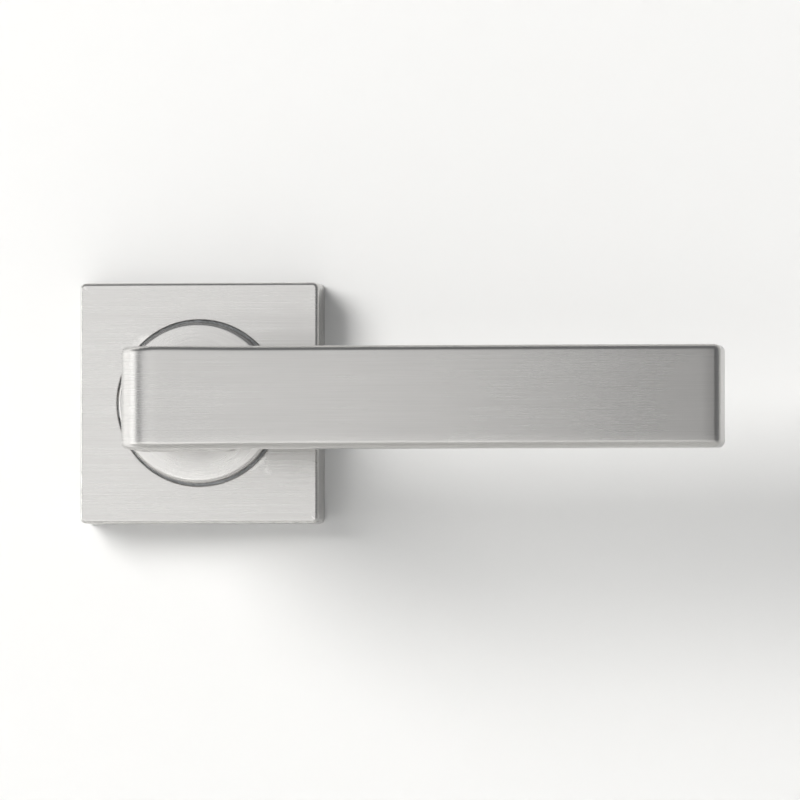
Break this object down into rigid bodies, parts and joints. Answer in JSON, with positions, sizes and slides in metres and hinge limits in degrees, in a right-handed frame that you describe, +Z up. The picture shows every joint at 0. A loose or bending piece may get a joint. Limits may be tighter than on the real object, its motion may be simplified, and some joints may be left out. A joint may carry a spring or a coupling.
{
  "type": "door lever handle",
  "caption": "Straight flat lever handle on a square rose, sprung to return level, with square spindle and through-door fixing bolts.",
  "frame": {"origin": "on the spindle's axis, in the plane of the door face, which is the back of the rose", "axes": "+X along the lever towards its tip, +Y into the door along the spindle, +Z up; the handle's front faces -Y"},
  "size_m": [0.139, 0.12, 0.05],
  "materials": {
    "satin_steel": "satin brushed",
    "cast_alloy": "as die-cast",
    "zinc_plated_steel": "bright zinc plated",
    "spring_steel": "bare drawn spring steel",
    "nylon": "moulded, natural",
    "black_oxide_steel": "black oxide"
  },
  "bodies": {
    "rose": {"rose_carrier": "cast_alloy", "front_bush": "nylon", "rear_bush": "nylon", "retaining_plate": "zinc_plated_steel", "plate_screws": "zinc_plated_steel", "return_spring_upper": "spring_steel", "return_spring_lower": "spring_steel", "stop_buffer_upper": "nylon", "stop_buffer_lower": "nylon", "cover_clip_upper": "spring_steel", "cover_clip_lower": "spring_steel", "fixing_bolts": "zinc_plated_steel"},
    "lever": {"lever": "satin_steel", "collar_ring": "satin_steel", "spring_rotor": "cast_alloy", "circlip": "black_oxide_steel", "disc_spring": "spring_steel", "spindle": "zinc_plated_steel", "grub_screw": "black_oxide_steel"},
    "cover": {"rose_cover": "satin_steel"}
  },
  "joints": [
    {"name": "lever_turn", "type": "hinge", "parent": "rose", "child": "lever", "pos_m": [0, 0, 0], "axis": [0, 1, 0], "range_deg": [0, 40], "stiffness_Nm_per_rad": 0.7, "springref_deg": -20.63, "deforming": ["return_spring_upper", "return_spring_lower"]},
    {"name": "cover_slide", "type": "slide", "parent": "rose", "child": "cover", "axis": [0, -1, 0], "range_m": [0, 0.028]}
  ]
}
